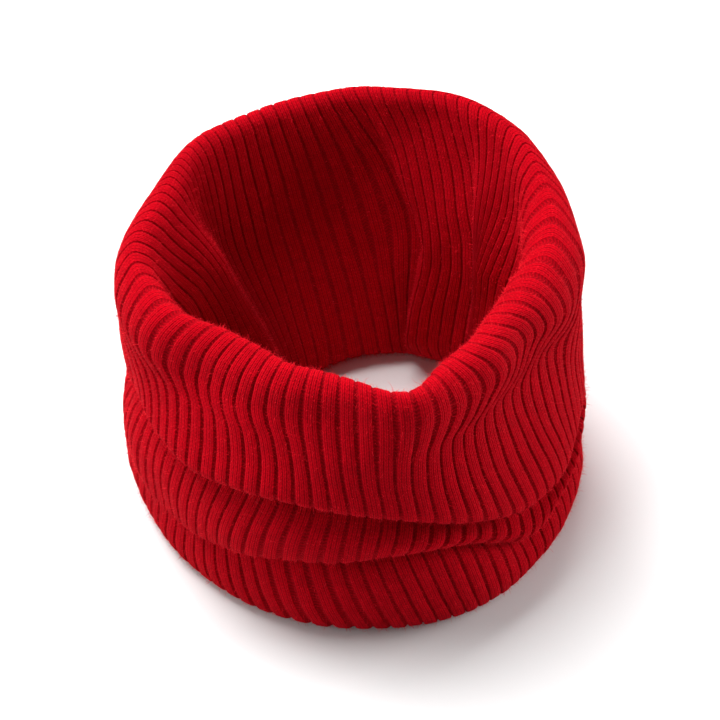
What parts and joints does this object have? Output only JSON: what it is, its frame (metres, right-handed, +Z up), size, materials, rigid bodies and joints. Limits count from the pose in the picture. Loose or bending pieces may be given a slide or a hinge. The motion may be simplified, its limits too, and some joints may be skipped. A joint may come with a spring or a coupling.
{
  "type": "knit snood",
  "caption": "Tube scarf for the neck in ribbed wool knit, doubled and sunk into soft overlapping folds, standing open by itself.",
  "frame": {"origin": "centre of the bounding box at the base, where the snood's foot rests on the surface", "axes": "+Z up through the neck opening, -Y the front as pictured, +X the viewer's right"},
  "size_m": [0.1731, 0.1775, 0.1132],
  "materials": {
    "knit_outside": "matt red wool-blend rib knit",
    "knit_inside": "matt red wool-blend rib knit"
  },
  "bodies": {
    "root": {"outer_layer": "knit_outside", "inner_layer": "knit_inside"}
  },
  "joints": []
}
